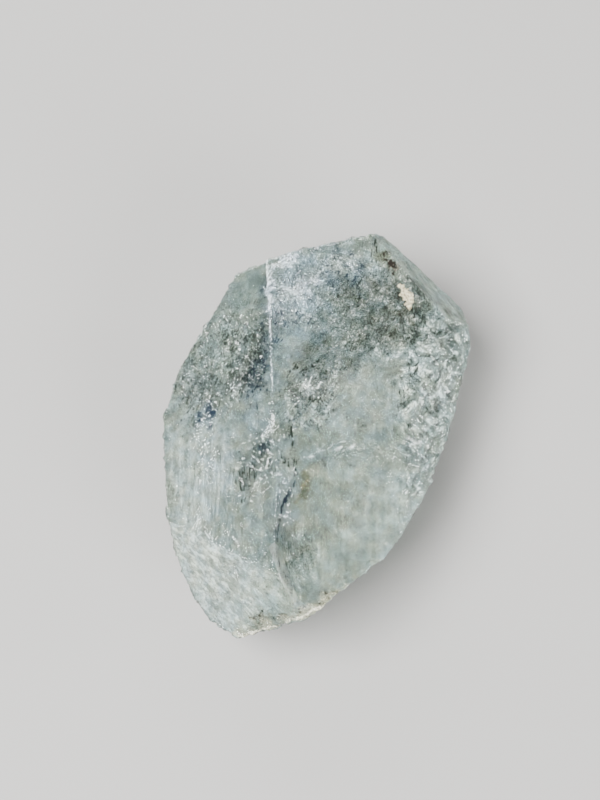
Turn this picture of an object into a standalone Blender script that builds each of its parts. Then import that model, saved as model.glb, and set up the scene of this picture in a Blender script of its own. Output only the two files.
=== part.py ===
"""Aquamarine crystal: one broken piece of pale beryl, lying on its flat back.

The crystal is a block ground down by flat faces, listed as a lapidary's chart lists them,
then hollowed by shell-shaped fractures and nibbled along its broken edges.
Metres, +Z up. The origin is the middle of the crystal's footprint box, on its resting face.
The pointed end lies towards +Y, and the two broad upper faces meet in a ridge along Y.
"""
import math

import bmesh
import bpy
from mathutils import Matrix, Vector

NAME = "aquamarine_crystal"
MM = 0.001

# Driving dimensions, in millimetres.
HEART_HEIGHT = 9.0  # the heart is the point inside that every reach is measured from
BLOCK_SIDE = 90.0  # the uncut block, larger than any reach

# The chart of faces. Each face looks along an azimuth (degrees, from +X towards +Y) and a
# tilt (degrees, up from level), and lies its reach (millimetres) away from the heart.
UPPER_FACES = {
    "broad_right": (15, 78, 6.1),
    "broad_left": (205, 62, 8.4),
    "bevel_top_right": (52, 46, 14.9),
    "rough_right": (5, 49, 9.3),
    "lower_left": (235, 42, 14.0),
    "notch_top_left": (134, 18, 18.7),
}
EDGE_WALLS = {
    "top": (129, -4, 17.2),
    "upper_right": (78, -25, 17.8),
    "shoulder_upper": (35, -12, 17.8),
    "shoulder": (26, 0, 17.2),
    "right_upper": (5, -18, 12.4),
    "right_middle": (358, -16, 12.2),
    "right_lower": (347, -10, 12.7),
    "foot_right": (327, -20, 13.4),
    "foot": (310, -18, 16.8),
    "foot_left": (257, -24, 20.7),
    "lower_left_low": (246, -20, 20.5),
    "lower_left_middle": (225, -12, 18.3),
    "lower_left_high": (215, -6, 17.1),
    "left_lower": (203, -22, 14.3),
    "left_middle": (180, -20, 14.1),
    "left_upper": (163, -12, 14.6),
}
UNDER_FACES = {
    "under_left": (205, -50, 10.5),
    "under_top_left": (160, -42, 13.5),
    "under_top": (105, -38, 15.0),
    "under_right": (30, -46, 12.5),
    "under_lower_right": (345, -50, 11.0),
    "under_foot": (300, -44, 14.5),
    "resting": (0, -90, HEART_HEIGHT),
}

# Shell-shaped fractures: a point on the surface (millimetres from the heart's foot), the way
# the hollow opens (azimuth, tilt), the radius of its ball, and how deep the ball bites.
SHELL_FRACTURES = {
    "front_shell": ((8.6, -9.4, 13.9), (15, 78), 25.0, 1.9),
    "under_top_shell": ((-3.0, 15.7, 5.0), (105, -38), 16.0, 1.0),
    "under_left_shell": ((-11.4, -3.0, 5.0), (205, -50), 20.0, 0.9),
    "under_right_shell": ((10.2, -4.0, 4.0), (345, -50), 12.0, 0.9),
}
FOOT_CHIPS = {
    "foot_chip_tip": ((1.2, -22.6, 10.2), (285, 40), 5.0, 0.5),
    "foot_chip_left": ((2.9, -22.0, 11.9), (290, 42), 4.5, 0.6),
    "foot_chip_middle": ((4.6, -21.3, 13.7), (295, 45), 5.0, 0.6),
    "foot_chip_right": ((6.8, -19.7, 14.9), (310, 45), 6.0, 0.6),
    "foot_chip_end": ((9.0, -17.2, 14.4), (320, 45), 6.0, 0.5),
}
EDGE_CHIPS = {
    "edge_chip_1": ((12.8, 6.4, 9.7), (2, 14), 3.0, 0.20),
    "edge_chip_2": ((12.9, 3.2, 9.8), (356, 12), 2.4, 0.30),
    "edge_chip_3": ((13.0, 1.2, 9.9), (354, 12), 1.8, 0.28),
    "edge_chip_4": ((13.0, -0.5, 10.0), (350, 12), 1.6, 0.28),
    "edge_chip_5": ((13.0, -2.6, 10.1), (346, 12), 2.2, 0.28),
}
LARGE_BALL = 8.0  # balls above this radius get the finer mesh
FINE_BALL, COARSE_BALL = 6, 4  # subdivisions of the two kinds of ball

COLOUR = (0.74, 0.85, 0.83, 1.0)  # pale blue-green
ROUGHNESS = 0.25
BERYL_IOR = 1.575


def facing(azimuth, tilt):
    """The unit vector that looks along an azimuth and a tilt, both in degrees."""
    a, t = math.radians(azimuth), math.radians(tilt)
    return Vector((math.cos(a) * math.cos(t), math.sin(a) * math.cos(t), math.sin(t)))


def grind(bm, azimuth, tilt, reach):
    """Cut the block off flat at one face, and close the cut."""
    normal = facing(azimuth, tilt)
    on_face = (Vector((0, 0, HEART_HEIGHT)) + normal * reach) * MM
    cut = bmesh.ops.bisect_plane(
        bm, geom=bm.verts[:] + bm.edges[:] + bm.faces[:], dist=1e-7,
        plane_co=on_face, plane_no=normal, clear_outer=True)
    rim = [part for part in cut["geom_cut"] if isinstance(part, bmesh.types.BMEdge)]
    if rim:
        bmesh.ops.holes_fill(bm, edges=rim)


def crystal_mesh():
    """The block with every face of the chart ground on it."""
    bm = bmesh.new()
    bmesh.ops.create_cube(bm, size=BLOCK_SIDE * MM)
    for chart in (UPPER_FACES, EDGE_WALLS, UNDER_FACES):
        for azimuth, tilt, reach in chart.values():
            grind(bm, azimuth, tilt, reach)
    bmesh.ops.recalc_face_normals(bm, faces=bm.faces)
    mesh = bpy.data.meshes.new(NAME)
    bm.to_mesh(mesh)
    bm.free()
    return mesh


def ball_cutter(name, point, opening, radius, depth, collection):
    """A ball that bites its depth into the surface at a point."""
    bm = bmesh.new()
    fineness = FINE_BALL if radius > LARGE_BALL else COARSE_BALL
    bmesh.ops.create_icosphere(bm, subdivisions=fineness, radius=radius * MM)
    mesh = bpy.data.meshes.new(name)
    bm.to_mesh(mesh)
    bm.free()
    ball = bpy.data.objects.new(name, mesh)
    ball.location = (Vector(point) + facing(*opening) * (radius - depth)) * MM
    ball.display_type = "WIRE"
    ball.hide_render = True
    collection.objects.link(ball)
    return ball


def bite(crystal, ball):
    """Take a ball out of the crystal."""
    cut = crystal.modifiers.new(ball.name, "BOOLEAN")
    cut.operation = "DIFFERENCE"
    cut.solver = "EXACT"
    cut.object = ball


def beryl_material():
    material = bpy.data.materials.new("pale_beryl")
    material.use_nodes = True
    shader = material.node_tree.nodes["Principled BSDF"]
    shader.inputs["Base Color"].default_value = COLOUR
    shader.inputs["Roughness"].default_value = ROUGHNESS
    shader.inputs["Metallic"].default_value = 0.0
    shader.inputs["Transmission Weight"].default_value = 1.0
    shader.inputs["IOR"].default_value = BERYL_IOR
    return material


def new_collection(name):
    collection = bpy.data.collections.new(name)
    bpy.context.scene.collection.children.link(collection)
    return collection


def seat(crystal, holder):
    """Move the holder so that the footprint box of the bitten crystal is centred on the origin."""
    bpy.context.view_layer.update()
    shaped = crystal.evaluated_get(bpy.context.evaluated_depsgraph_get())
    corners = [shaped.matrix_world @ Vector(corner) for corner in shaped.bound_box]
    low = Vector([min(corner[i] for corner in corners) for i in range(3)])
    high = Vector([max(corner[i] for corner in corners) for i in range(3)])
    middle = (low + high) / 2
    holder.matrix_world = Matrix.Translation((-middle.x, -middle.y, -low.z))
    bpy.context.view_layer.update()


def main():
    for old in list(bpy.data.objects):
        bpy.data.objects.remove(old)
    parts = new_collection(NAME)
    cutters = new_collection("cutters")

    holder = bpy.data.objects.new("seat", None)
    parts.objects.link(holder)
    crystal = bpy.data.objects.new(NAME, crystal_mesh())
    crystal.data.materials.append(beryl_material())
    parts.objects.link(crystal)
    crystal.parent = holder

    for bites in (SHELL_FRACTURES, FOOT_CHIPS, EDGE_CHIPS):
        for name, (point, opening, radius, depth) in bites.items():
            ball = ball_cutter(name, point, opening, radius, depth, cutters)
            ball.parent = holder
            bite(crystal, ball)
    seat(crystal, holder)


main()
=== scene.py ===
import math

import bmesh
import bpy
import numpy as np
from mathutils import Matrix, Vector, noise
from mathutils.bvhtree import BVHTree


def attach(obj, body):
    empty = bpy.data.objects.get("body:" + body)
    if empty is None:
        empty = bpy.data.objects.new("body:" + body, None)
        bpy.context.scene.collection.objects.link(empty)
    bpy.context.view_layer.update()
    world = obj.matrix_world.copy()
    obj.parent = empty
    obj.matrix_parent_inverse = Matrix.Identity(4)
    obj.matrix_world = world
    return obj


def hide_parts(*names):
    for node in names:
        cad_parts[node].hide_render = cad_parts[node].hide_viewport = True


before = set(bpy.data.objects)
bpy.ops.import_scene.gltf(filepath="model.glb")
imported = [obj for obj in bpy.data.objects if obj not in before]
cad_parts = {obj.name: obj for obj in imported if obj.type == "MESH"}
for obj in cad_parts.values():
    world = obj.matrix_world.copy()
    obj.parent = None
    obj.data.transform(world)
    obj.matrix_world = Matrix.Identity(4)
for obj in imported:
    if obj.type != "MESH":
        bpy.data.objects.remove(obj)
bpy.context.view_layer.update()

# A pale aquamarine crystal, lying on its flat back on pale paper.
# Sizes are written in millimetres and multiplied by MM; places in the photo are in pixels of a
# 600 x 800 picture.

NODE = "aquamarine_crystal"
BODY = "root"
MM = 0.001
BERYL_IOR = 1.575


# ---- directions
def towards(azimuth, elevation):
    """The unit vector from the object towards a viewer: azimuth 0 is on the -Y side."""
    a, e = math.radians(azimuth), math.radians(elevation)
    return Vector((math.sin(a) * math.cos(e), -math.cos(a) * math.cos(e), math.sin(e)))


def facing(azimuth, tilt):
    """The unit vector that looks along an azimuth from +X, and a tilt up from level."""
    a, t = math.radians(azimuth), math.radians(tilt)
    return Vector((math.cos(a) * math.cos(t), math.sin(a) * math.cos(t), math.sin(t)))


# ---- camera
AIM = Vector((-1.4, 3.2, 10.3)) * MM
CAMERA_AZIMUTH = 20.0
CAMERA_ELEVATION = 70.0
CAMERA_DISTANCE = 0.250
LENS_MM = 108.0
SENSOR_MM = 36.0
NEAREST_SEEN = 0.01
PICTURE_HEIGHT = 800
PICTURE_CENTRE = (300, 400)
FOCAL_PIXELS = LENS_MM / SENSOR_MM * PICTURE_HEIGHT
SIGHT = towards(CAMERA_AZIMUTH, CAMERA_ELEVATION)


def camera_axes():
    """The camera's back, right and up."""
    turn = math.radians(CAMERA_AZIMUTH)
    right = Vector((math.cos(turn), math.sin(turn), 0))
    return SIGHT, right, SIGHT.cross(right)


def make_camera():
    data = bpy.data.cameras.new("camera")
    data.lens = LENS_MM
    data.sensor_width = SENSOR_MM
    data.clip_start = NEAREST_SEEN
    camera = bpy.data.objects.new("camera", data)
    camera.location = AIM + SIGHT * CAMERA_DISTANCE
    camera.rotation_euler = (-SIGHT).to_track_quat("-Z", "Y").to_euler()
    bpy.context.scene.collection.objects.link(camera)
    bpy.context.scene.camera = camera


# ---- stage and light
FLOOR_SIZE = 3.0
FLOOR_DROP = 0.08 * MM
PAPER = (0.30, 0.295, 0.285, 1)
PAPER_ROUGHNESS = 0.9
SKY = (0.92, 0.96, 1.0, 1)
SKY_STRENGTH = 0.03

# Each softbox: azimuth and elevation (degrees), distance (m), width and height (m), power (W).
SOFTBOXES = {
    "key": (-42, 62, 0.6, (0.36, 0.36), 16.0),
    "fill": (60, 25, 0.7, (0.40, 0.40), 8.0),
    "back": (-152, 24, 0.7, (0.62, 0.50), 5.0),
    "right_glint": (115, 14, 0.6, (0.07, 0.07), 1.5),
}


def make_floor():
    bpy.ops.mesh.primitive_plane_add(size=FLOOR_SIZE, location=(0, 0, -FLOOR_DROP))
    floor = bpy.context.object
    floor.name = "floor"
    material = bpy.data.materials.new("floor_paper")
    material.use_nodes = True
    shader = material.node_tree.nodes["Principled BSDF"]
    shader.inputs["Base Color"].default_value = PAPER
    shader.inputs["Roughness"].default_value = PAPER_ROUGHNESS
    floor.data.materials.append(material)


def make_softbox(name, azimuth, elevation, distance, size, power):
    data = bpy.data.lights.new(name, "AREA")
    data.shape = "RECTANGLE"
    data.size, data.size_y = size
    data.energy = power
    light = bpy.data.objects.new(name, data)
    out = towards(azimuth, elevation)
    light.location = out * distance
    light.rotation_euler = (-out).to_track_quat("-Z", "Y").to_euler()
    bpy.context.scene.collection.objects.link(light)


def make_world():
    world = bpy.data.worlds.new("studio")
    bpy.context.scene.world = world
    world.use_nodes = True
    background = world.node_tree.nodes["Background"]
    background.inputs["Color"].default_value = SKY
    background.inputs["Strength"].default_value = SKY_STRENGTH


# ---- marks placed by the picture
# Each patch: middle (pixels), half length and half width (pixels), turn of its long way (degrees
# anticlockwise from level in the picture), strength.

# Painted shade: darker body colour where the crystal shows dark zones of shade.
PAINTED_SHADE_PATCHES = [
    ((380, 309), 56, 38, 10, 0.58),
    ((352, 362), 30, 5, 60, 0.50),
    ((330, 392), 18, 5, 55, 0.35),
    ((330, 350), 60, 22, 60, 0.45),
    ((230, 333), 96, 38, 62, 0.35),
    ((258, 345), 52, 20, 72, 0.50),
    ((294, 555), 46, 12, 80, 0.10),
    ((318, 410), 44, 16, 60, 0.12),
    ((262, 460), 44, 16, 60, 0.25),
    ((440, 330), 30, 14, -50, 0.20),
    ((414, 384), 26, 8, 65, 0.28),
    ((441, 402), 10, 5, 70, 0.30),
    ((272, 515), 34, 8, 82, 0.12),
]
# Where dark pits gather; the pits are painted shade, with painted highlights on their rims.
DARK_CLUSTERS = [
    ((228, 339), 12, 9, 30, 1.4),
    ((248, 334), 13, 8, 20, 1.1),
    ((262, 290), 12, 5, 80, 0.8),
    ((262, 352), 28, 9, 75, 1.1),
    ((184, 385), 20, 8, 65, 0.60),
    ((217, 368), 76, 36, 62, 0.66),
    ((203, 390), 20, 9, 50, 0.70),
    ((210, 414), 8, 6, 70, 1.7),
    ((256, 385), 18, 12, 60, 0.9),
    ((250, 408), 12, 6, 20, 0.8),
    ((262, 447), 9, 7, 60, 1.1),
    ((246, 476), 18, 8, 55, 1.0),
    ((281, 464), 8, 5, 10, 0.9),
    ((249, 504), 5, 2.5, 60, 1.1),
    ((194, 478), 4, 3, 60, 0.8),
    ((312, 406), 16, 9, 25, 0.85),
    ((310, 422), 9, 5, 0, 0.9),
    ((412, 370), 12, 5, 60, 0.9),
    ((296, 412), 22, 4, 75, 0.6),
    ((372, 268), 24, 14, -20, 0.7),
    ((400, 320), 30, 22, 0, 0.8),
    ((345, 285), 22, 16, 0, 0.75),
    ((424, 300), 18, 10, -70, 0.85),
    ((436, 403), 5, 10, -30, 1.0),
    ((402, 392), 14, 6, 60, 0.8),
    ((328, 272), 13, 8, 30, 0.60),
    ((292, 320), 22, 7, 10, 0.80),
    ((300, 273), 8, 3, 0, 0.9),
    ((284, 338), 9, 8, 0, 0.8),
    ((300, 370), 20, 7, 15, 0.7),
    ((260, 615), 11, 6, 30, 0.95),
    ((381, 253), 16, 4, -42, 1.15),
    ((393, 265), 9, 4, -35, 2.5),
    ((416, 288), 10, 3, -55, 1.1),
]
# Where white frost gathers, and where painted glints and a painted reflection band above the shell lie.
PALE_PATCHES = [
    ((284, 262), 22, 6, 12, 1.4),
    ((273, 284), 28, 5, 84, 1.4),
    ((300, 288), 22, 8, 10, 1.2),
    ((350, 258), 30, 8, 14, 0.5),
    ((290, 300), 36, 20, 70, 0.75),
    ((300, 392), 14, 9, 30, 0.6),
    ((240, 375), 26, 7, 68, 0.6),
    ((205, 440), 50, 12, 88, 0.45),
    ((206, 532), 30, 7, -50, 0.5),
    ((345, 462), 44, 8, 12, 0.6),
    ((410, 442), 9, 4, -10, 1.6),
    ((440, 390), 26, 12, 80, 0.5),
    ((430, 345), 24, 9, -20, 0.5),
    ((350, 400), 40, 26, 0, 0.35),
    ((300, 470), 10, 8, 0, 0.5),
]
# Tinted blue.
COOL_PATCHES = [
    ((296, 300), 60, 34, 80, 0.9),
    ((330, 268), 40, 20, 0, 0.7),
    ((262, 400), 60, 18, 80, 0.6),
    ((280, 520), 50, 14, 75, 0.6),
    ((205, 415), 14, 10, 70, 0.8),
    ((215, 470), 50, 16, 85, 0.4),
]
# Tinted by iron.
RUST_PATCHES = [
    ((320, 540), 70, 50, 60, 0.30),
    ((302, 486), 22, 5, 75, 1.0),
    ((388, 260), 18, 8, -40, 0.6),
    ((404, 297), 26, 11, -80, 0.5),
    ((312, 472), 16, 7, 10, 0.45),
    ((342, 552), 16, 10, 20, 0.35),
    ((375, 330), 34, 20, 0, 0.25),
    ((300, 590), 24, 10, -50, 0.30),
    ((330, 600), 40, 8, 20, 0.35),
    ((258, 622), 12, 6, 0, 0.7),
]
# Full of fine cracks.
BUSY_PATCHES = [
    ((375, 310), 75, 55, 0, 1.0),
    ((318, 286), 60, 38, 20, 1.0),
    ((225, 360), 60, 45, 60, 0.9),
    ((298, 555), 44, 18, 80, 0.6),
    ((310, 400), 45, 26, 60, 1.0),
    ((437, 390), 60, 24, 80, 0.45),
    ((255, 465), 50, 22, 60, 0.6),
]
# Crossed by long curved folds, drawn as bands of painted light and shade.
FOLDED_PATCHES = [
    ((430, 375), 75, 34, 80, 1.25),
    ((425, 320), 40, 20, -30, 0.8),
    ((420, 450), 40, 24, 70, 0.8),
    ((330, 365), 60, 20, 55, 0.5),
    ((245, 350), 70, 16, 70, 0.5),
]
# Strongly streaked.
FLOW_PATCHES = [
    ((200, 460), 60, 24, 88, 0.4),
    ((258, 300), 40, 8, 80, 0.8),
    ((300, 560), 46, 22, 80, 2.0),
    ((240, 370), 30, 10, 70, 0.7),
]
# Where streaks run along STREAKS_UP_RIGHT instead of along the growth lines.
SLANT_PATCHES = [
    ((225, 340), 110, 60, 62, 1.0),
    ((330, 340), 90, 70, 50, 1.0),
    ((437, 380), 70, 30, 75, 1.0),
]
# Under a thin milky white film, which is partly painted sheen.
VEIL_AND_SHEEN_PATCHES = [
    ((365, 525), 80, 66, 60, 0.65),
    ((200, 470), 66, 32, 85, 1.25),
    ((292, 292), 44, 26, 75, 0.60),
    ((240, 510), 60, 36, 0, 0.50),
    ((284, 470), 50, 10, 85, 0.5),
    ((350, 402), 60, 40, 0, 0.8),
    ((425, 400), 60, 22, 80, 0.6),
    ((192, 400), 30, 18, 70, 0.8),
    ((345, 462), 44, 8, 12, 0.5),
]

# Lines of the picture, in pixels.
# Dark cracks.
STRINGERS = [
    [(289, 428), (293, 446), (297, 462)],
    [(266, 268), (262, 290), (264, 300)],
    [(262, 322), (256, 350), (250, 372), (240, 392)],
    [(419, 358), (410, 380), (405, 384)],
    [(441, 402), (434, 412)],
    [(416, 326), (430, 330), (444, 335)],
]
# White scratches and bright cracks, most of them painted highlights and reflections on edges, cracks and
# the right face.
PALE_LINES = [
    [(415, 325), (424, 331), (436, 338)],
    [(424, 346), (433, 358), (439, 372), (440, 392)],
    [(402, 441), (409, 438), (417, 443), (408, 447)],
    [(411, 295), (420, 301)],
    [(412, 301), (419, 309)],
    [(409, 288), (418, 295)],
    [(300, 458), (322, 452), (346, 446), (374, 440)],
    [(226, 528), (236, 542), (245, 560)],
    [(207, 533), (214, 545)],
    [(233, 566), (240, 580)],
    [(330, 322), (338, 318)],
    [(270, 258), (300, 252), (335, 246), (368, 238)],
    [(270, 470), (284, 474)],
    [(244, 462), (256, 470)],
    [(412, 482), (418, 487), (413, 493)],
    [(348, 262), (356, 270), (362, 281)],
]
# Four short bright strokes, side by side: painted glints.
PAINTED_GLINT_HATCHES = [
    [(307, 375), (303, 386)],
    [(312, 375), (307, 388)],
    [(317, 377), (312, 389)],
    [(321, 382), (318, 388)],
]
RIDGE_LINE = [(266, 257), (268, 290), (270, 330), (272, 372), (273, 400)]
FOOT_RIM = [(240, 636), (262, 629), (288, 622), (310, 613), (330, 602), (347, 588)]
FOOT_RIM_TOP = [(248, 622), (262, 610), (279, 618), (298, 611), (316, 602), (334, 590)]
WORN_RIDGE = [(273, 424), (273, 480), (273, 545)]
LOW_RIDGE = [(274, 548), (296, 604), (312, 614)]
SHELL_RIM = [
    (292, 430), (293, 455), (296, 472), (291, 488), (283, 506), (278, 526), (276, 547),
    (279, 565), (288, 583),
]
# The outline of the pale flake near the peak, a painted highlight of a crack that catches the light.
HIGHLIGHT_FLAKE_OUTLINE = [
    (398, 283), (403, 284), (407, 288), (413, 293), (414, 303), (410, 312), (406, 309),
    (404, 300), (400, 296),
]


# ---- crystal skin
VOXEL = 0.20 * MM
WELD = 1e-6

# The faces that have a look of their own: azimuth and tilt, in degrees.
FACES = {
    "broad_right": (15, 78),
    "broad_left": (205, 62),
    "bevel": (52, 46),
    "rough_right": (5, 49),
    "lower_left": (235, 42),
}
FACE_FADES_FROM = 13  # degrees off a face's direction
FACE_FULL_WITHIN = 7
SHELL_POINT = Vector((10.0, -8.9, 13.9)) * MM
SHELL_OPENING = (15, 78)
SHELL_RADIUS = 25.0 * MM
SHELL_DEPTH = 1.9 * MM
SHELL_STRUCK_AT = SHELL_POINT + Vector((6, -7, 0)) * MM

GROWTH_LINES = Vector((-0.32, 0.95, 0.05))
STREAKS_UP_RIGHT = Vector((0.17, 0.98, 0.0))
STREAKS_DOWN_RIGHT = Vector((0.88, -0.44, 0.16))
ALONG_BEVEL = facing(FACES["bevel"][0] - 90, 0)


def evaluated_copy(obj, name):
    depsgraph = bpy.context.evaluated_depsgraph_get()
    mesh = bpy.data.meshes.new_from_object(obj.evaluated_get(depsgraph), depsgraph=depsgraph)
    mesh.name = name
    return mesh


def dense_skin(name):
    """The CAD solid remade with small even faces, each point back on the solid's own surface."""
    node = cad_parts[NODE]
    bm = bmesh.new()
    bm.from_mesh(node.data)
    bmesh.ops.remove_doubles(bm, verts=bm.verts, dist=WELD)
    mesh = bpy.data.meshes.new(name)
    bm.to_mesh(mesh)
    bm.free()
    skin = bpy.data.objects.new(name, mesh)
    bpy.context.scene.collection.objects.link(skin)
    remesh = skin.modifiers.new("remesh", "REMESH")
    remesh.mode = "VOXEL"
    remesh.voxel_size = VOXEL
    wrap = skin.modifiers.new("wrap", "SHRINKWRAP")
    wrap.target = node
    wrap.wrap_method = "NEAREST_SURFACEPOINT"
    bpy.context.view_layer.update()
    dense = evaluated_copy(skin, name)
    skin.modifiers.clear()
    skin.data = dense
    return skin


def vectors_of(elements, key):
    numbers = np.zeros(len(elements) * 3)
    elements.foreach_get(key, numbers)
    return numbers.reshape(-1, 3)


def store(mesh, name, values, kind="FLOAT", key="value"):
    attribute = mesh.attributes.new(name, kind, "POINT")
    attribute.data.foreach_set(key, values.astype(np.float32).ravel())


# ---- noise on the skin
LACUNARITY = 2.1  # how much finer each octave of noise is than the one before
CREST_SHARPNESS = 2.2
CELL_SEED_SCALE = 7.3


def smooth(low, high, x):
    t = np.clip((x - low) / (high - low), 0, 1)
    return t * t * (3 - 2 * t)


def moved(seed):
    """How far a pattern is moved through space to differ from the others."""
    return Vector((seed, 2.3 * seed, 5.1 * seed))


def fractal(points, size, octaves=4, seed=0.0):
    """Fractal noise from about -1 to 1, with lumps of the given size in millimetres."""
    k, move = 1.0 / (size * MM), moved(seed)
    return np.array([noise.fractal(Vector(p) * k + move, 1.0, LACUNARITY, octaves) for p in points])


def ridged(points, size, octaves, seed):
    """Sharp-crested noise, from 0 in the flats to 1 on the crests."""
    return 1.0 - np.clip(np.abs(fractal(points, size, octaves, seed)) * CREST_SHARPNESS, 0, 1)


def shards(points, size, seed):
    """Splinters: each cell of a random pattern leans its own way. From about -0.5 to 0.5."""
    k, move = 1.0 / (size * MM), moved(seed)
    heights = []
    for p in points:
        q = Vector(p) * k + move
        _, centres = noise.voronoi(q)
        lean = noise.cell_vector(centres[0] * CELL_SEED_SCALE)
        heights.append((q - centres[0]).dot(lean - Vector((0.5, 0.5, 0.5))))
    return np.array(heights)


def drawn_out(points, along, stretch):
    """Points in millimetres, squeezed along a direction, so that noise on them is drawn out there."""
    way = np.array(along.normalized())
    run = points @ way
    return (points - np.outer(run, way) * (1 - 1 / stretch)) / MM


def grain(points, along, stretch, size, seed):
    """Noise drawn out along a direction, as growth lines and striations are."""
    move = Vector((seed, 1.7 * seed, 3.1 * seed))
    squeezed = drawn_out(points, along, stretch) / size
    return np.array([noise.fractal(Vector(p) + move, 1.0, LACUNARITY, 3) for p in squeezed])


# ---- places in the picture
RAGGED_SIZE = 1.3  # millimetres
RAGGED_SEEDS = (61.0, 67.0)
RAGGED_GAIN = 1.6
TORN_REACH = 7.0  # pixels
SHAKEN_REACH = 2.0
PATCH_EDGE = (1.25, 0.70)  # a patch starts at the first and is full at the second share of its radius


def picture_places(points):
    """Where each point shows in the 600 x 800 picture, in pixels."""
    back, right, up = camera_axes()
    rel = points - np.array(AIM + back * CAMERA_DISTANCE)
    far = -(rel @ np.array(back))
    px = PICTURE_CENTRE[0] + FOCAL_PIXELS * (rel @ np.array(right)) / far
    py = PICTURE_CENTRE[1] - FOCAL_PIXELS * (rel @ np.array(up)) / far
    return px, py


def patches(places, table):
    """The strongest of a table's soft ellipses at each place."""
    px, py = places
    strongest = np.zeros(len(px))
    for middle, half_long, half_wide, turn, strength in table:
        c, s = math.cos(math.radians(turn)), math.sin(math.radians(turn))
        dx, dy = px - middle[0], middle[1] - py
        far = np.hypot((dx * c + dy * s) / half_long, (dy * c - dx * s) / half_wide)
        strongest = np.maximum(strongest, strength * smooth(*PATCH_EDGE, far))
    return strongest


def from_line(places, line):
    """How many pixels each place lies from a line of the picture."""
    px, py = places
    nearest = np.full(len(px), 1e9)
    for (x0, y0), (x1, y1) in zip(line, line[1:]):
        dx, dy = x1 - x0, y1 - y0
        t = np.clip(((px - x0) * dx + (py - y0) * dy) / (dx * dx + dy * dy), 0, 1)
        nearest = np.minimum(nearest, np.hypot(px - x0 - t * dx, py - y0 - t * dy))
    return nearest


class Places:
    """Where each point of the skin shows in the picture: straight, and pushed about by noise."""

    def __init__(self, points, seen):
        self.seen = seen
        self.straight = picture_places(points)
        pushes = [fractal(points, RAGGED_SIZE, 4, seed) for seed in RAGGED_SEEDS]
        self.torn = self.pushed(pushes, TORN_REACH)
        self.shaken = self.pushed(pushes, SHAKEN_REACH)

    def pushed(self, pushes, reach):
        return [place + reach * push * RAGGED_GAIN for place, push in zip(self.straight, pushes)]

    def patches(self, table):
        """A table's patches with torn outlines, on the side that the camera sees."""
        return patches(self.torn, table) * self.seen

    def stroke(self, line, wide, narrow, places=None):
        """A line that is full within a narrow reach and gone beyond a wide one, in pixels."""
        return smooth(wide, narrow, from_line(places or self.straight, line)) * self.seen


def face_masks(points, normals):
    """How far each point belongs to each kind of surface, from 0 to 1."""
    masks = {}
    fade = math.cos(math.radians(FACE_FADES_FROM)), math.cos(math.radians(FACE_FULL_WITHIN))
    for name, way in FACES.items():
        masks[name] = smooth(*fade, normals @ np.array(facing(*way)))
    upright = normals[:, 2]
    ball = SHELL_POINT + facing(*SHELL_OPENING) * (SHELL_RADIUS - SHELL_DEPTH)
    off = np.linalg.norm(points - np.array(ball), axis=1) - SHELL_RADIUS
    masks["shell"] = smooth(0.08 * MM, 0.02 * MM, np.abs(off)) * (upright > 0.5)
    masks["walls"] = smooth(0.55, 0.35, np.abs(upright))
    masks["under"] = smooth(-0.45, -0.60, upright) * smooth(0.0, 0.6 * MM, points[:, 2])
    masks["base"] = smooth(-0.97, -0.99, upright) * smooth(0.3 * MM, 0.1 * MM, points[:, 2])
    masks["seen"] = smooth(0.05, 0.25, normals @ np.array(SIGHT))
    flat = np.max([masks[name] for name in (*FACES, "shell", "walls")], axis=0)
    masks["crease"] = (1 - flat) * (upright > 0)
    return masks


# ---- relief, in millimetres
# Fine growth lines on a face: height, direction, how far they are drawn out, width, seed.
LINED_FACES = {
    "broad_left": (0.03, GROWTH_LINES, 6.0, 0.7, 2.0),
    "lower_left": (0.03, STREAKS_DOWN_RIGHT, 6.0, 0.5, 3.0),
    "bevel": (0.05, ALONG_BEVEL, 9.0, 0.6, 5.0),
}
ARC_HEIGHT = 0.010
ARCS_PER_MM = 3.6  # radians
RIM_GROOVE = 0.07
STEP_UP = 0.16  # right of the ridge
STEP_DOWN = 0.10  # left of it
WORN_DEPTH = 0.38
WORN_REACH = 21  # pixels
CLEAN_WALL_SHARE = 0.75
DEEPEST_BASE_HOLLOW = 1.2
STEP_FADES = (400, 260)  # the step is full above the second height in the picture


def facet_relief(points, masks):
    """A gentle swell everywhere, etching on the right face, growth lines on three others."""
    relief = 0.05 * fractal(points, 5.0, 3) + 0.018 * fractal(points, 0.9, 3, 7.0)
    relief += masks["broad_right"] * 0.03 * fractal(points, 0.55, 3, 11.0)
    for face, (height, along, stretch, width, seed) in LINED_FACES.items():
        relief += masks[face] * height * grain(points, along, stretch, width, seed)
    return relief


def broken_relief(points, masks, places):
    """Splinters on the rough right face, the walls and the underside."""
    px, py = places.straight
    splinters = shards(points, 1.4, 3.0)
    fine_splinters = shards(points, 0.7, 9.0)
    broken = 0.20 * (ridged(points, 1.6, 3, 13.0) - 0.5) + 0.5 * splinters + 0.2 * fine_splinters
    clean = smooth(372, 392, px) * smooth(352, 338, py)
    relief = masks["rough_right"] * broken
    relief += masks["walls"] * broken * (1 - CLEAN_WALL_SHARE * clean)
    under = 0.35 * fractal(points, 4.0, 4, 23.0) + 0.7 * shards(points, 2.2, 4.0) + 0.3 * splinters
    return relief + masks["under"] * under


def shell_relief(points, masks, places):
    """Faint arcs round the place where the shell was struck off, and a groove along its rim."""
    reach = np.linalg.norm(points - np.array(SHELL_STRUCK_AT), axis=1) / MM
    arcs = np.sin(reach * ARCS_PER_MM + 1.5 * fractal(points, 4.0, 2, 17.0))
    return masks["shell"] * ARC_HEIGHT * arcs - RIM_GROOVE * places.stroke(SHELL_RIM, 3.5, 0.5)


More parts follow.
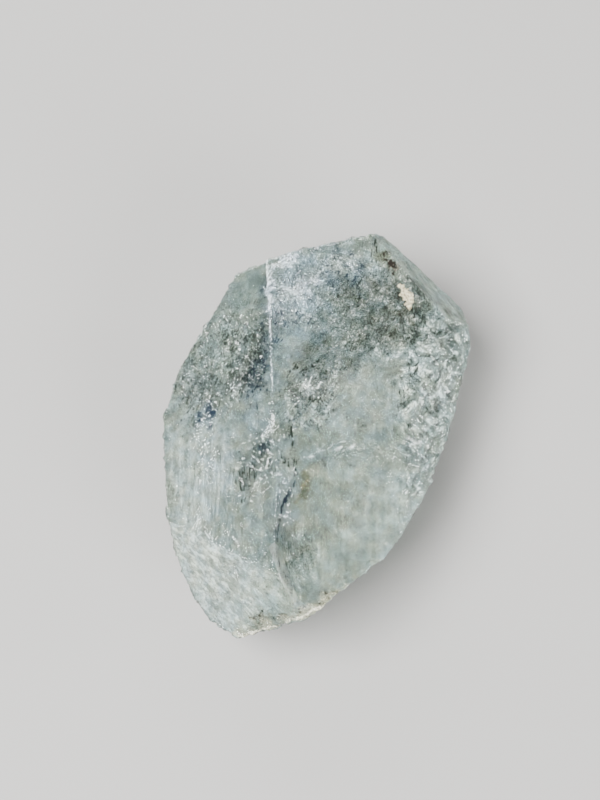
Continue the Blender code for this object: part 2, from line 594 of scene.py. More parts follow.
def ridge_relief(masks, places):
    """The right side of the ridge stands proud of the left at its top; lower down it is worn round."""
    px, py = places.straight
    ridge_x = np.interp(py, [y for _, y in RIDGE_LINE], [x for x, _ in RIDGE_LINE])
    right = smooth(-1.0, 1.5, px - ridge_x)
    beside = places.stroke(RIDGE_LINE, 14, 2) * smooth(*STEP_FADES, py)
    step = (STEP_UP * right - STEP_DOWN * (1 - right)) * beside
    worn = np.clip(1 - from_line(places.straight, WORN_RIDGE) / WORN_REACH, 0, 1)
    worn = worn * worn * masks["seen"] * (1 - masks["shell"])
    return step - WORN_DEPTH * worn * smooth(398, 436, py) * smooth(560, 450, py)


def base_hollow(points, masks):
    """Hollows in the resting face, which still rests on what is left between them."""
    hollow = 0.35 + 0.4 * fractal(points, 3.0, 3, 41.0)
    hollow += 0.8 * shards(points, 1.9, 6.0) + 0.4 * shards(points, 0.9, 8.0)
    return masks["base"] * np.clip(hollow, 0, DEEPEST_BASE_HOLLOW)


def displace(mesh, points, normals, masks, places):
    """Move every point along its normal."""
    relief = facet_relief(points, masks)
    relief += broken_relief(points, masks, places)
    relief += shell_relief(points, masks, places)
    relief += ridge_relief(masks, places)
    relief *= smooth(0.05 * MM, 0.8 * MM, points[:, 2])
    relief -= base_hollow(points, masks)
    mesh.vertices.foreach_set("co", (points + normals * (relief * MM)[:, None]).ravel())
    mesh.update()


# ---- what the material reads
BACK_SIZE = 3.2  # millimetres: the size of the pale and dark areas on the hidden sides
STRONGEST_FOLD = 1.25


def ridge_highlight(places):
    """A painted highlight: the bright line on the ridge, which thins out and fades downwards."""
    py = places.straight[1]
    line = places.stroke(RIDGE_LINE, 2.0 - 0.8 * smooth(270, 330, py), 0.4)
    return line * (1.0 - 0.65 * smooth(325, 400, py))


def pale_marks(masks, places, hidden_pale, ridge, foot, flawed):
    """Where white frost and painted highlights gather: patches, ridge, creases, the foot's chipped rim,
    scratches and glints.
    """
    px, py = places.straight
    off_worn = smooth(8.0, 14.0, from_line(places.straight, [RIDGE_LINE[-1]] + WORN_RIDGE + LOW_RIDGE))
    left_only = 1 - smooth(244, 262, px) * smooth(515, 535, py)
    # Painted highlight: a bright line along the creases between faces.
    creases = masks["crease"] * off_worn * left_only * places.seen
    marks = [
        places.patches(PALE_PATCHES),
        hidden_pale,
        1.7 * ridge * flawed,
        1.2 * creases,
        foot,
        1.6 * places.stroke(FOOT_RIM, 2.4, 0.6, places.shaken),
    ]
    marks += [1.1 * flawed * places.stroke(line, 2.4, 0.5, places.shaken) for line in PALE_LINES]
    marks += [1.7 * places.stroke(line, 1.5, 0.4) for line in PAINTED_GLINT_HATCHES]
    return np.max(marks, axis=0)


def dark_marks(places, hidden_dark, ridge, foot):
    """Where dark pits gather: clusters, cracks, and the rim of the shell, whose dark line is painted
    shade in its groove.
    """
    py = places.straight[1]
    marks = [places.patches(DARK_CLUSTERS), hidden_dark]
    marks += [1.2 * places.stroke(line, 3.2, 0.8, places.shaken) for line in STRINGERS]
    dark = np.max(marks, axis=0) * (1 - ridge)
    # Painted shade: a dark line in the groove along the shell's rim.
    rim = places.stroke(SHELL_RIM, 2.7, 0.7) * (1.0 - 0.4 * smooth(505, 525, py))
    dark = np.maximum(dark, (1.35 + 0.35 * smooth(480, 500, py)) * rim)
    foot_top = places.stroke(FOOT_RIM_TOP, 3.0, 1.0, places.torn)
    return np.maximum(dark * (1 - 0.6 * foot), 0.9 * foot_top)


def frost_marks(points, masks, places):
    """How rough the skin is: from 0, polished, to 4, matt, on the crease of the low ridge."""
    satin = np.clip(0.15 + 0.4 * fractal(points, 3.0, 4, 31.0), 0, 1)
    broken = 0.3 * np.maximum(masks["walls"], masks["under"])
    return np.max([satin, broken, 4.0 * places.stroke(LOW_RIDGE, 6.0, 3.0)], axis=0)


def veil_and_sheen_marks(masks, places, foot):
    """Where a thin milky white film lies, partly painted sheen: on the lower-left face it is lighter
    towards the left.
    """
    leftward = 0.4 + 0.6 * smooth(285, 215, places.straight[0])
    # Painted sheen on the lower-left face.
    lower_left = 1.8 * masks["lower_left"] * places.seen * leftward
    return np.max([places.patches(VEIL_AND_SHEEN_PATCHES), lower_left, 1.3 * foot], axis=0)


def store_streaks(mesh, points, masks, places, hidden_slant):
    """The squeezed places that streaks are drawn on, and how strong and how slanted they are."""
    flow = drawn_out(points, GROWTH_LINES, 8.0)
    on_lower_left, on_bevel = masks["lower_left"] > 0.5, masks["bevel"] > 0.5
    flow[on_lower_left] = drawn_out(points[on_lower_left], STREAKS_DOWN_RIGHT, 2.2)
    flow[on_bevel] = drawn_out(points[on_bevel], ALONG_BEVEL, 9.0)
    store(mesh, "flow", flow, "FLOAT_VECTOR", "vector")
    store(mesh, "strike", drawn_out(points, STREAKS_UP_RIGHT, 6.0), "FLOAT_VECTOR", "vector")
    slant = np.maximum(patches(places.torn, SLANT_PATCHES), hidden_slant)
    store(mesh, "slant", slant * (1 - masks["lower_left"]) * (1 - masks["bevel"]))
    streak = 0.35 * (1 - 0.7 * masks["shell"]) + 0.15 * masks["broad_left"]
    streak += 0.3 * masks["lower_left"] + 0.5 * masks["bevel"] + 0.7 * places.patches(FLOW_PATCHES)
    store(mesh, "streak", streak)


def store_cracks(mesh, masks, places, pale):
    """How full of fine cracks, folds and glittering facets each point is."""
    busy = 0.30 + 0.15 * masks["rough_right"] + 0.2 * masks["walls"] + 0.2 * masks["under"]
    busy = np.clip(np.maximum(busy, places.patches(BUSY_PATCHES)), 0, 1)
    store(mesh, "busy", busy * (1 - 0.7 * masks["bevel"]))
    folded = places.patches(FOLDED_PATCHES) + 0.5 * masks["walls"] + 0.4 * masks["under"]
    store(mesh, "folded", np.clip(folded, 0, STRONGEST_FOLD) * (1 - masks["shell"]))
    facets = 0.10 + 0.8 * np.clip(pale, 0, 1) + 0.3 * masks["walls"] + 0.3 * masks["rough_right"]
    store(mesh, "sparkle", facets * (1 - 0.8 * masks["shell"]) * (1 - 0.7 * masks["bevel"]))


def paint(mesh, points, masks, places):
    """Store what the material reads at each point of the skin."""
    hidden = 1 - masks["seen"]
    wild = fractal(points, BACK_SIZE, 4, 51.0)
    flawed = 1.0 + 0.8 * fractal(points, 0.8, 3, 71.0)
    # The ridge line is a painted highlight.
    ridge = ridge_highlight(places)
    foot = places.stroke(FOOT_RIM, 12.0, 6.0, places.torn)
    pale = pale_marks(masks, places, hidden * 0.7 * smooth(0.15, 0.5, wild), ridge, foot, flawed)
    store(mesh, "pale", pale)
    store(mesh, "dark", dark_marks(places, hidden * 0.9 * smooth(0.15, 0.5, -wild), ridge, foot))
    # Painted shade: the shade patches, and an even darkening of the sides that the camera does not see.
    store(mesh, "shade", places.patches(PAINTED_SHADE_PATCHES) + hidden * 0.3)
    store(mesh, "cool", places.patches(COOL_PATCHES))
    store(mesh, "rust", np.maximum(places.patches(RUST_PATCHES), 0.85 * foot))
    store(mesh, "veil", veil_and_sheen_marks(masks, places, foot))
    store(mesh, "frost", frost_marks(points, masks, places))
    store_streaks(mesh, points, masks, places, hidden * smooth(0.0, 0.3, wild))
    store_cracks(mesh, masks, places, pale)


def sculpt(skin):
    mesh = skin.data
    points, normals = vectors_of(mesh.vertices, "co"), vectors_of(mesh.vertex_normals, "vector")
    masks = face_masks(points, normals)
    places = Places(points, masks["seen"])
    displace(mesh, points, normals, masks, places)
    paint(mesh, points, masks, places)


# ---- material of the crystal
OLIVE = (0.016, 0.021, 0.017, 1)
NAVY = (0.008, 0.017, 0.034, 1)
BROWN = (0.022, 0.014, 0.011, 1)
CHALK = (0.95, 0.985, 0.965, 1)
ICE = (0.78, 0.86, 1.0, 1)
CREAM = (0.97, 0.90, 0.70, 1)
COOL = (0.55, 0.66, 0.90, 1)
RUST = (0.60, 0.48, 0.26, 1)
DEEP_BERYL = (0.54, 0.64, 0.60)
BERYL = (0.68, 0.80, 0.75)
MILKY_BERYL = (0.84, 0.95, 0.90)
BLUISH = (0.78, 0.93, 1.0)
YELLOWISH = (1.0, 0.97, 0.78)
SEEN_THROUGH = (0.64, 0.78, 0.74, 1)
ABSORPTION_DENSITY = 30.0
BUMP_STRENGTH = 0.25
BUMP_HEIGHT = 0.12 * MM

# Patterns: lumps per metre, octaves, roughness. The first three are drawn on squeezed places,
# whose unit is a millimetre across the streaks.
LINE_NOISE = (2.3, 4.0, 0.65)
STROKE_NOISE = (6.5, 3.0, 0.65)
THREAD_NOISE = (12.0, 4.0, 0.7)
BODY_NOISE = (260.0, 4.0, 0.6)
HUE_NOISE = (650.0, 3.0, 0.6)
LUMP_NOISE = (800.0, 4.0, 0.65)
FOLD_NOISE = (900.0, 3.0, 0.6)
ETCHING_NOISE = (2400.0, 5.0, 0.65)
PIT_NOISE = (3400.0, 4.0, 0.65)
GRAIN_NOISE = (6500.0, 2.0, 0.7)
SALT_NOISE = (7500.0, 3.0, 0.75)
# How places are pushed about before chips and folds are drawn on them, and how far, in metres.
CHIP_PUSH = (1500.0, 3.0, 0.6), 7e-4
FOLD_PUSH = (260.0, 2.0, 0.5), 6e-3
CHIPS_PER_METRE = 3200.0
FACETS_PER_METRE = 7500.0
NOISE_SPAN = (0.36, 0.64)  # nearly all of a noise's values lie in it

# What sculpt() paints on the skin for the material.
PAINTED = ("busy", "streak", "slant", "shade", "pale", "dark", "cool", "rust", "veil", "folded", "frost")


class Nodes:
    """A short way to write a material's nodes."""

    def __init__(self, name):
        self.material = bpy.data.materials.new(name)
        self.material.use_nodes = True
        self.tree = self.material.node_tree
        self.shader = self.tree.nodes["Principled BSDF"]
        self.place = self.tree.nodes.new("ShaderNodeTexCoord").outputs["Object"]

    def link(self, value, socket):
        if isinstance(value, bpy.types.NodeSocket):
            self.tree.links.new(value, socket)
        else:
            socket.default_value = value

    def new(self, kind, sockets, **settings):
        """The outputs of a new node, given its settings and what goes into its sockets."""
        node = self.tree.nodes.new("ShaderNode" + kind)
        for name, value in settings.items():
            setattr(node, name, value)
        for socket, value in sockets.items():
            self.link(value, node.inputs[socket])
        return node.outputs

    def attribute(self, name, output="Fac"):
        return self.new("Attribute", {}, attribute_name=name)[output]

    def cells(self, scale, where=None):
        """A random colour for each cell of a broken pattern."""
        return self.new("TexVoronoi", {"Scale": scale, "Vector": where or self.place})["Color"]

    def red(self, colour):
        return self.new("SeparateColor", {"Color": colour})["Red"]

    def noise(self, scale, detail, roughness, where=None, output="Fac"):
        pattern = {"Scale": scale, "Detail": detail, "Roughness": roughness}
        return self.new("TexNoise", {**pattern, "Vector": where or self.place})[output]

    def pushed_place(self, pattern, reach):
        """The object's places, pushed about by noise."""
        push = self.noise(*pattern, None, "Color")
        return self.vector("MULTIPLY_ADD", push, (reach,) * 3, self.place)

    def spread(self, value, low, high, to_low=0.0, to_high=1.0, kind="SMOOTHSTEP"):
        ends = {"From Min": low, "From Max": high, "To Min": to_low, "To Max": to_high}
        return self.new("MapRange", {"Value": value, **ends}, interpolation_type=kind)["Result"]

    def level(self, noise_value, reach=1.0):
        """A noise stretched to run from -reach to reach."""
        return self.spread(noise_value, *NOISE_SPAN, -reach, reach, "LINEAR")

    def math(self, operation, a, b=0.0, c=0.0):
        return self.new("Math", {0: a, 1: b, 2: c}, operation=operation)[0]

    def times(self, a, b):
        return self.math("MULTIPLY", a, b)

    def times_plus(self, a, b, c):
        return self.math("MULTIPLY_ADD", a, b, c)

    def larger(self, a, b):
        return self.math("MAXIMUM", a, b)

    def vector(self, operation, a, b=(0, 0, 0), c=(0, 0, 0)):
        return self.new("VectorMath", {0: a, 1: b, 2: c}, operation=operation)[0]

    def scaled(self, colour, factor):
        return self.new("VectorMath", {0: colour, "Scale": factor}, operation="SCALE")[0]

    def mix(self, share, a, b, blend="MIX"):
        """A colour between two others. The Mix node's colours are its inputs 6 and 7, its output 2."""
        return self.new("Mix", {0: share, 6: a, 7: b}, data_type="RGBA", blend_type=blend)[2]

    def between(self, share, a, b):
        """A number between two others."""
        return self.new("Mix", {0: share, 2: a, 3: b})[0]

    def ramp(self, value, *stops):
        node = self.tree.nodes.new("ShaderNodeValToRGB")
        elements = node.color_ramp.elements
        while len(elements) < len(stops):
            elements.new(0.5)
        for element, (position, colour) in zip(elements, stops):
            element.position = position
            element.color = (*colour, 1)
        self.link(value, node.inputs["Fac"])
        return node.outputs["Color"]


def beryl_patterns(nodes):
    """What is painted on the skin, and patterns from about -1 to 1 that several looks share."""
    p = {name: nodes.attribute(name) for name in PAINTED}
    flow, strike = nodes.attribute("flow", "Vector"), nodes.attribute("strike", "Vector")
    p["growth"] = nodes.noise(*LINE_NOISE, flow)
    p["threads"] = nodes.noise(*THREAD_NOISE, strike)
    lines = nodes.between(p["slant"], p["growth"], nodes.noise(*LINE_NOISE, strike))
    strokes = nodes.noise(*STROKE_NOISE, flow), nodes.noise(*STROKE_NOISE, strike)
    p["lines"] = nodes.level(lines)
    p["strokes"] = nodes.level(nodes.between(p["slant"], *strokes))
    p["grain"] = nodes.level(nodes.noise(*GRAIN_NOISE))
    p["lumps"] = nodes.level(nodes.noise(*LUMP_NOISE))
    p["chips"] = nodes.cells(CHIPS_PER_METRE, nodes.pushed_place(*CHIP_PUSH))
    p["splinters"] = nodes.spread(nodes.red(p["chips"]), 0, 1, -1, 1, "LINEAR")
    # Painted light and shade: the folds lighten and darken the body and the crack faces in bands.
    folds = nodes.level(nodes.noise(*FOLD_NOISE, nodes.pushed_place(*FOLD_PUSH)), 0.8)
    p["folds"] = nodes.times(folds, p["folded"])
    return p


def stained(nodes, p, plain, cool, rusty):
    """One of three colours, by how cool or rusty the place is."""
    return nodes.mix(p["rust"], nodes.mix(p["cool"], plain, cool), rusty)


def body_colour(nodes, p):
    """The clear body: mottled, darker where painted shade lies, and tinted."""
    body = nodes.ramp(nodes.noise(*BODY_NOISE), (0.36, DEEP_BERYL), (0.5, BERYL), (0.64, MILKY_BERYL))
    hue = nodes.ramp(nodes.noise(*HUE_NOISE), (0.40, BLUISH), (0.60, YELLOWISH))
    body = nodes.mix(0.7, body, hue, "MULTIPLY")
    stops = nodes.times(p["lines"], nodes.times(p["streak"], 0.5))
    stops = nodes.math("ADD", p["folds"], stops)
    stops = nodes.times_plus(p["lumps"], nodes.times_plus(p["busy"], 0.25, 0.20), stops)
    # Painted shade darkens the body here.
    stops = nodes.times_plus(p["shade"], -2.4, stops)
    body = nodes.scaled(body, nodes.math("POWER", 2.0, stops))
    body = nodes.mix(nodes.times(p["cool"], 0.6), body, COOL, "MULTIPLY")
    return nodes.mix(nodes.times(p["rust"], 0.8), body, RUST, "MULTIPLY")


def crack_faces(nodes, p):
    """Fine cracks, whose faces show as grains and strokes: dark below 0, light above. The dark and light
    are painted shade and painted reflections of the crack faces, over tone that differs at random.
    """
    busy = p["busy"]
    rough = nodes.times_plus(p["pale"], 0.45, nodes.times_plus(busy, 0.55, 0.34))
    cracks = nodes.times(p["strokes"], nodes.times_plus(busy, 0.45, 0.32))
    cracks = nodes.times_plus(p["grain"], rough, cracks)
    cracks = nodes.times_plus(p["lumps"], nodes.times_plus(busy, 0.30, 0.15), cracks)
    cracks = nodes.times_plus(p["splinters"], nodes.times(busy, 0.50), cracks)
    return nodes.math("ADD", p["folds"], cracks)


def frost_grains(nodes, p):
    """Single grains of white frost; the scattered ones are painted glints."""
    elsewhere = nodes.vector("ADD", nodes.place, (0.1, 0.1, 0.1))
    level = nodes.math("ADD", p["threads"], nodes.noise(*SALT_NOISE, elsewhere))
    level = nodes.times_plus(p["pale"], 0.35, level)
    return nodes.times(nodes.spread(level, 1.24, 1.75), 0.9)


def pit_shade_and_rim_highlights(nodes, p):
    """Dark pits, and the pale rim of each: painted shade in the pits, a painted highlight on the rims.
    """
    level = nodes.times_plus(nodes.noise(*PIT_NOISE), 0.7, 0.15)
    level = nodes.times_plus(p["strokes"], 0.27, level)
    level = nodes.times_plus(p["dark"], 0.26, level)
    rim = nodes.math("SUBTRACT", nodes.spread(level, 0.66, 0.70), nodes.spread(level, 0.70, 0.76))
    return nodes.spread(level, 0.72, 0.93), nodes.times(rim, 0.10)


def glittering_normal(nodes, p):
    """The normal of an etched skin whose tiny facets each lean their own way."""
    half = (0.5, 0.5, 0.5)
    height = nodes.times_plus(p["growth"], 1.4, nodes.noise(*ETCHING_NOISE))
    bump = {"Strength": BUMP_STRENGTH, "Distance": BUMP_HEIGHT, "Height": height}
    lean = nodes.vector("SUBTRACT", nodes.cells(FACETS_PER_METRE), half)
    share = nodes.attribute("sparkle", "Vector")
    normal = nodes.vector("MULTIPLY_ADD", lean, share, nodes.new("Bump", bump)["Normal"])
    lean = nodes.vector("SUBTRACT", p["chips"], half)
    share = nodes.vector("MULTIPLY", nodes.attribute("busy", "Vector"), (0.35, 0.35, 0.35))
    return nodes.vector("NORMALIZE", nodes.vector("MULTIPLY_ADD", lean, share, normal))


def absorb_light(nodes):
    absorb = nodes.new("VolumeAbsorption", {"Density": ABSORPTION_DENSITY, "Color": SEEN_THROUGH})
    nodes.link(absorb[0], nodes.tree.nodes["Material Output"].inputs["Volume"])


def beryl_material():
    """See-through beryl, made opaque where frost, pits and the faces of cracks lie on it."""
    nodes = Nodes("beryl")
    p = beryl_patterns(nodes)
    cracks = crack_faces(nodes, p)
    salt = frost_grains(nodes, p)
    # Painted shade in the pits, painted highlights on their rims.
    pit, rim = pit_shade_and_rim_highlights(nodes, p)

    # A thin white film, partly painted sheen, streaked along the growth lines.
    veil = nodes.times(p["veil"], nodes.spread(p["lines"], -1, 1, 0.06, 0.22, "LINEAR"))
    # Painted light and shade: the light and the dark faces of the cracks.
    painted_crack_light = nodes.spread(cracks, 0.0, 1.6, 0.0, 0.45, "LINEAR")
    white = nodes.larger(nodes.larger(nodes.larger(veil, salt), painted_crack_light), rim)
    painted_crack_shade = nodes.spread(cracks, -0.15, -1.2, 0.0, 0.55, "LINEAR")
    dark = nodes.times(nodes.larger(pit, painted_crack_shade), nodes.math("SUBTRACT", 1.0, salt))

    colour = nodes.mix(white, body_colour(nodes, p), stained(nodes, p, CHALK, ICE, CREAM))
    inked = nodes.math("MINIMUM", nodes.times(dark, 2.0), 1.0)
    colour = nodes.mix(inked, colour, stained(nodes, p, OLIVE, NAVY, BROWN))
    opaque = nodes.larger(white, nodes.times(dark, 0.75))

    shader = nodes.shader
    shader.inputs["IOR"].default_value = BERYL_IOR
    nodes.link(colour, shader.inputs["Base Color"])
    nodes.link(nodes.spread(opaque, 0, 1, 0.96, 0.0, "LINEAR"), shader.inputs["Transmission Weight"])
    nodes.link(nodes.spread(p["frost"], 0, 4, 0.06, 0.62, "LINEAR"), shader.inputs["Roughness"])
    nodes.link(glittering_normal(nodes, p), shader.inputs["Normal"])
    absorb_light(nodes)
    return nodes.material


def make_skin():
    """The crystal's own skin, which stands in for the CAD node."""
    skin = dense_skin("crystal")
    sculpt(skin)
    skin.data.shade_smooth()
    skin.data.materials.clear()
    skin.data.materials.append(beryl_material())
    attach(skin, BODY)
    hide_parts(NODE)
    return skin


# ---- places under the skin
def tree_of(mesh):
    return BVHTree.FromPolygons([v.co for v in mesh.vertices], [p.vertices for p in mesh.polygons])


SOLID = tree_of(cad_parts[NODE].data)


def camera_ray(px, py):
    """The camera's place, and the way it looks through a point of the 600 x 800 picture."""
    back, right, up = camera_axes()
    x = (px - PICTURE_CENTRE[0]) / FOCAL_PIXELS
    y = (py - PICTURE_CENTRE[1]) / FOCAL_PIXELS
    return AIM + back * CAMERA_DISTANCE, (right * x - up * y - back).normalized()


def bend(ray, normal, ratio):
    """The ray after it crosses a surface, by Snell's law."""
    head_on = -ray.dot(normal)
    left = 1 - ratio * ratio * (1 - head_on * head_on)
    return ratio * ray + (ratio * head_on - math.sqrt(left)) * normal


def inside(px, py, depth):
    """The point that shows at a place of the picture and lies a depth (mm) under the skin."""
    start, ray = camera_ray(px, py)
    hit, normal, _, _ = SOLID.ray_cast(start, ray)
    if hit is None:
        return None
    return hit + bend(ray, normal, 1 / BERYL_IOR) * depth * MM


def buried(point, cover):
    """Whether a point lies in the crystal with at least this cover (mm) over it."""
    near, normal, _, _ = SOLID.find_nearest(point)
    return (point - near).dot(normal) < -cover * MM


# ---- sealed inclusions
LEAST_DEPTH = 0.25  # millimetres along the line of sight
GRAIN_COVER = 0.35  # millimetres of crystal over each grain
FILM_COVER = 0.2
CLUMP_SIZE = 1.2
TRIES_PER_GRAIN = 30
FLAKE_SIDES = 6
FLAKE_THICKNESS = 0.03
FLAKE_TWIST = 0.12  # how far a flake's rim rises and falls, as a share of its radius
LEAST_FLAKE = 0.03
FILM_THICKNESS = 0.02

# Each patch of flakes: middle (pixels), half length and half width (pixels), turn (degrees
# anticlockwise from level), depth and its spread (mm), how many, the biggest one's radius (mm).
# Dark specks: flakes for gas-filled cracks, coloured dark as painted shade.
DARK_SPECK_PATCHES = [
    ((229, 339), 10, 6, 30, 1.2, 0.2, 26, 0.22),
    ((199, 388), 26, 12, 45, 1.4, 0.3, 60, 0.22),
    ((183, 378), 6, 22, 10, 0.8, 0.2, 26, 0.20),
    ((209, 414), 5, 5, 0, 1.2, 0.1, 10, 0.30),
    ((255, 375), 26, 14, 60, 1.6, 0.4, 80, 0.26),
    ((262, 447), 9, 8, 60, 1.5, 0.3, 24, 0.26),
    ((248, 476), 14, 9, 55, 1.4, 0.3, 40, 0.24),
    ((281, 464), 8, 6, 20, 1.5, 0.3, 18, 0.26),
    ((249, 504), 3, 3, 60, 1.2, 0.1, 6, 0.16),
    ((250, 330), 40, 18, 65, 2.0, 0.6, 90, 0.20),
    ((310, 400), 14, 44, -30, 1.4, 0.4, 110, 0.24),
    ((325, 365), 12, 30, -35, 1.6, 0.4, 60, 0.22),
    ((375, 300), 46, 34, 0, 2.4, 0.8, 220, 0.22),
    ((420, 400), 10, 26, -20, 1.0, 0.3, 36, 0.20),
    ((442, 403), 5, 10, -30, 0.8, 0.2, 18, 0.24),
]
# Bright glints.
GLINT_PATCHES = [
    ((225, 350), 60, 30, 60, 1.4, 0.6, 80, 0.14),
    ((200, 400), 40, 26, 70, 1.2, 0.4, 50, 0.14),
    ((255, 440), 46, 26, 70, 1.6, 0.5, 60, 0.14),
    ((305, 300), 46, 34, 0, 0.8, 0.3, 180, 0.14),
    ((320, 410), 40, 50, 0, 1.4, 0.5, 80, 0.16),
    ((380, 310), 60, 50, 0, 2.2, 0.8, 260, 0.16),
    ((430, 390), 26, 46, 0, 1.0, 0.4, 160, 0.20),
    ((220, 550), 36, 40, 0, 1.2, 0.5, 60, 0.12),
    ((310, 385), 12, 10, 60, 0.9, 0.2, 26, 0.30),
    ((435, 385), 10, 16, 0, 0.7, 0.2, 30, 0.34),
]
# The same without the last column.
MIST_PATCHES = [
    ((220, 420), 130, 60, 80, 2.0, 1.2, 1500),
    ((340, 330), 90, 80, 0, 2.4, 1.4, 1500),
    ((250, 560), 70, 50, 0, 1.8, 1.0, 500),
]
# The radii of the mist's drops, in millimetres.
DROPS = (0.015, 0.05)

# Each film: place in the picture, depth (mm), the way that it faces, its long way, half length and
# half width (mm), height and size of its crumples (mm), size of its mesh (mm), seed.
FILMS = {
    "brown_film": ((394, 266), 0.7, (0.2, 0, 0.9), (1, -0.4, 0), 0.9, 0.5, 0.2, 0.6, 0.07, 32.0),
    "stain_by_shell": ((302, 488), 0.6, (0.1, 0, 0.98), (0.25, 1, 0), 1.5, 0.3, 0.15, 0.8, 0.08, 33.0),
}


def add_mesh(name, mesh, material):
    piece = bpy.data.objects.new(name, mesh)
    bpy.context.scene.collection.objects.link(piece)
    mesh.materials.clear()
    mesh.materials.append(material)
    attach(piece, BODY)
    return piece


class Grains:
    """Many small closed grains gathered in one mesh."""

    def __init__(self, seed):
        self.vertices, self.faces = [], []
        self.rng = np.random.default_rng(seed)

    def sides(self, normal):
        """Two directions across a normal, turned at random."""
        side = normal.orthogonal().normalized()
        side = Matrix.Rotation(self.rng.uniform(0, math.tau), 3, normal) @ side
        return side, normal.cross(side)

    def flake(self, point, normal, size, stretch):
        """A thin plate with a ragged, twisted outline."""
        u, v = self.sides(normal)
        first = len(self.vertices)
        reach = size * MM * self.rng.uniform(0.55, 1.0, FLAKE_SIDES)
        half = FLAKE_THICKNESS * MM / 2
        for side in (half, -half):
            for i in range(FLAKE_SIDES):
                a = math.tau * i / FLAKE_SIDES
                rim = u * math.cos(a) * reach[i] * stretch + v * math.sin(a) * reach[i]
                lift = normal * (side + FLAKE_TWIST * reach[i] * math.sin(2 * a))
                self.vertices.append(point + rim + lift)
        top = [first + i for i in range(FLAKE_SIDES)]
        low = [first + FLAKE_SIDES + i for i in range(FLAKE_SIDES)]
        self.faces.append(top)
        self.faces.append(low[::-1])
        for i in range(FLAKE_SIDES):
            j = (i + 1) % FLAKE_SIDES
            self.faces.append((top[j], top[i], low[i], low[j]))

    def drop(self, point, size):
        """An eight-sided drop."""
        first = len(self.vertices)
        for axis in range(3):
            for sign in (1, -1):
                step = Vector((0, 0, 0))
                step[axis] = sign * size * MM * self.rng.uniform(0.6, 1.0)
                self.vertices.append(point + step)
        for x, sx in ((0, 1), (1, -1)):
            for y, sy in ((2, 1), (3, -1)):
                for z, sz in ((4, 1), (5, -1)):
                    face = (first + x, first + y, first + z)
                    self.faces.append(face if sx * sy * sz > 0 else face[::-1])

    def make(self, name, material):
        mesh = bpy.data.meshes.new(name)
        mesh.from_pydata(self.vertices, [], self.faces)
        mesh.update()
        return add_mesh(name, mesh, material)


def scatter(rng, middle, half_long, half_wide, turn, depth, spread, count, sparse):
    """Places in a clumpy sheet under an ellipse of the picture; sparse sets how bare its gaps are."""
    c, s = math.cos(math.radians(turn)), math.sin(math.radians(turn))
    found = []
    tries = 0
    while len(found) < count and tries < count * TRIES_PER_GRAIN:
        tries += 1
        a, b = rng.normal(0, 0.5, 2)
        if a * a + b * b > 1:
            continue
        along, across = a * half_long, b * half_wide
        px = middle[0] + along * c + across * s
        py = middle[1] - along * s + across * c
        point = inside(px, py, max(depth + rng.normal(0, spread), LEAST_DEPTH))
        if point is None or not buried(point, GRAIN_COVER):
            continue
        if noise.fractal(point / (CLUMP_SIZE * MM), 1.0, 2.0, 3) < sparse:
            continue
        found.append(point)
    return found


def make_flakes(name, seed, table, material, sparse, least, bias, tumble, narrowest):
    """Flakes that roughly face the camera; a greater bias makes more of them small."""
    grains = Grains(seed)
    rng = grains.rng
    for *patch, biggest in table:
        for point in scatter(rng, *patch, sparse):
            size = biggest * rng.uniform(least, 1.0) ** bias + LEAST_FLAKE
            normal = (SIGHT + Vector(rng.normal(0, tumble, 3))).normalized()
            grains.flake(point, normal, size, rng.uniform(narrowest, 1.0))
    grains.make(name, material)


def make_mist(seed, material, sparse):
    grains = Grains(seed)
    for patch in MIST_PATCHES:
        for point in scatter(grains.rng, *patch, sparse):
            grains.drop(point, grains.rng.uniform(*DROPS))
    grains.make("mist", material)


def closed_sheet(name, bm, material):
    """An open sheet given a thickness all round."""
    mesh = bpy.data.meshes.new(name)
    bm.to_mesh(mesh)
    bm.free()
    sheet = bpy.data.objects.new(name + "_open", mesh)
    bpy.context.scene.collection.objects.link(sheet)
    wall = sheet.modifiers.new("wall", "SOLIDIFY")
    wall.thickness = FILM_THICKNESS * MM
    wall.offset = 0
    bpy.context.view_layer.update()
    closed = evaluated_copy(sheet, name)
    bpy.data.objects.remove(sheet)
    return add_mesh(name, closed, material)


def make_film(name, film, material):
    """A torn, crumpled film in a crack."""
    place, depth, faces, runs, half_long, half_wide, height, crumple, cell, seed = film
    middle = inside(*place, depth)
    normal = Vector(faces).normalized()
    long_way = Vector(runs)
    long_way = (long_way - normal * long_way.dot(normal)).normalized()
    wide_way = normal.cross(long_way)
    bm = bmesh.new()
    rows, columns = int(2 * half_long / cell), int(2 * half_wide / cell)
    bmesh.ops.create_grid(bm, x_segments=rows, y_segments=columns, size=1.0)
    shift = Vector((seed * 3.1, seed * 1.7, seed))
    for vert in bm.verts:
        flat = middle + (long_way * vert.co.x * half_long + wide_way * vert.co.y * half_wide) * MM
        lift = noise.fractal(flat / (crumple * MM) + shift, 1.0, 2.2, 4) * height
        vert.co = flat + normal * lift * MM
    gone = []
    for face in bm.faces:
        centre = face.calc_center_median()
        rel = (centre - middle) / MM
        edge = 1 - math.hypot(rel.dot(long_way) / half_long, rel.dot(wide_way) / half_wide)
        tear = noise.fractal(centre / (0.6 * MM) + shift, 1.0, 2.0, 4)
        if edge * 1.6 + tear * 0.9 - 0.25 < 0 or not buried(centre, FILM_COVER):
            gone.append(face)
    bmesh.ops.delete(bm, geom=gone, context="FACES")
    return closed_sheet(name, bm, material)


def within(px, py, outline):
    """Whether a place of the picture lies in an outline."""
    odd = False
    for (x0, y0), (x1, y1) in zip(outline, outline[1:] + outline[:1]):
        if (y0 > py) != (y1 > py) and px < x0 + (x1 - x0) * (py - y0) / (y1 - y0):
            odd = not odd
    return odd


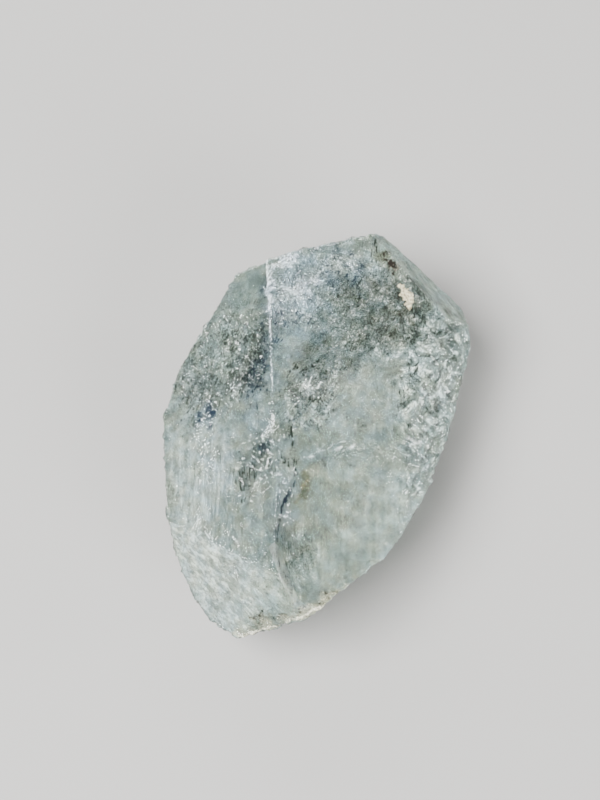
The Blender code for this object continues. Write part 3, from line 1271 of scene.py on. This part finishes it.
def make_flake_on_skin(name, outline, skin, material, cell=0.5):
    """A torn flake that lies on the finished skin. Its outline and its cell are in pixels."""
    bark = tree_of(skin.data)
    left, right = min(x for x, _ in outline), max(x for x, _ in outline)
    top, low = min(y for _, y in outline), max(y for _, y in outline)
    across, down = int((right - left) / cell) + 4, int((low - top) / cell) + 4
    bm = bmesh.new()
    bmesh.ops.create_grid(bm, x_segments=across, y_segments=down, size=1.0)
    gone = []
    for vert in bm.verts:
        px = (left + right) / 2 + vert.co.x * across * cell / 2
        py = (top + low) / 2 - vert.co.y * down * cell / 2
        wobble = noise.fractal(Vector((px, py, 3.0)) / 3.0, 1.0, 2.0, 3)
        if not within(px + 3.0 * wobble, py - 2.4 * wobble, outline):
            gone.append(vert)
        start, ray = camera_ray(px, py)
        hit, _, _, _ = bark.ray_cast(start, ray)
        rise = 0.05 + 0.05 * abs(noise.fractal(Vector((px, py, 9.0)) / 2.0, 1.0, 2.0, 3))
        vert.co = (hit or start) - ray * rise * MM
    bmesh.ops.delete(bm, geom=gone, context="VERTS")
    return closed_sheet(name, bm, material)


def mottled(name, dark, light, roughness, metallic=0.0, alpha=1.0, lumps=2500.0):
    """A sealed thing's finish: a mottled colour between two shades."""
    nodes = Nodes(name)
    colour = nodes.ramp(nodes.noise(lumps, 3.0, 0.6), (0.35, dark), (0.65, light))
    nodes.link(colour, nodes.shader.inputs["Base Color"])
    nodes.shader.inputs["Roughness"].default_value = roughness
    nodes.shader.inputs["Metallic"].default_value = metallic
    nodes.shader.inputs["Alpha"].default_value = alpha
    return nodes.material


def make_inclusions(skin):
    # Painted shade: the dark finish of the dark specks.
    shaded_gas = mottled("shaded_gas", (0.03, 0.05, 0.06), (0.16, 0.20, 0.22), 0.25, 0.0, 0.85)
    bright_gas = mottled("bright_gas", (0.75, 0.82, 0.82), (0.95, 0.97, 0.95), 0.10, 1.0, 0.9)
    mist = mottled("mist", (0.75, 0.84, 0.83), (0.92, 0.96, 0.95), 0.5, 0.0, 0.8)
    # A painted highlight: the cream finish of the flake where a crack catches the light.
    highlight_finish = mottled("painted_crack_highlight", (0.12, 0.10, 0.05), (0.66, 0.61, 0.42), 0.3, 0.0, 1.0, 4500.0)
    brown = mottled("brown_film", (0.08, 0.05, 0.04), (0.22, 0.15, 0.11), 0.4, 0.0, 0.9)
    stain = mottled("iron_stain", (0.45, 0.33, 0.14), (0.70, 0.58, 0.32), 0.4, 0.0, 0.2, 900.0)

    make_flakes("dark_specks", 11, DARK_SPECK_PATCHES, shaded_gas, -0.1, 0.25, 1.5, 0.5, 0.4)
    make_flakes("glints", 12, GLINT_PATCHES, bright_gas, 0.0, 0.2, 2, 0.6, 0.3)
    make_mist(13, mist, 0.05)
    make_flake_on_skin("painted_crack_highlight", HIGHLIGHT_FLAKE_OUTLINE, skin, highlight_finish)
    for (name, film), material in zip(FILMS.items(), (brown, stain)):
        make_film(name, film, material)


make_camera()
make_floor()
make_world()
for light_name, light in SOFTBOXES.items():
    make_softbox(light_name, *light)
make_inclusions(make_skin())
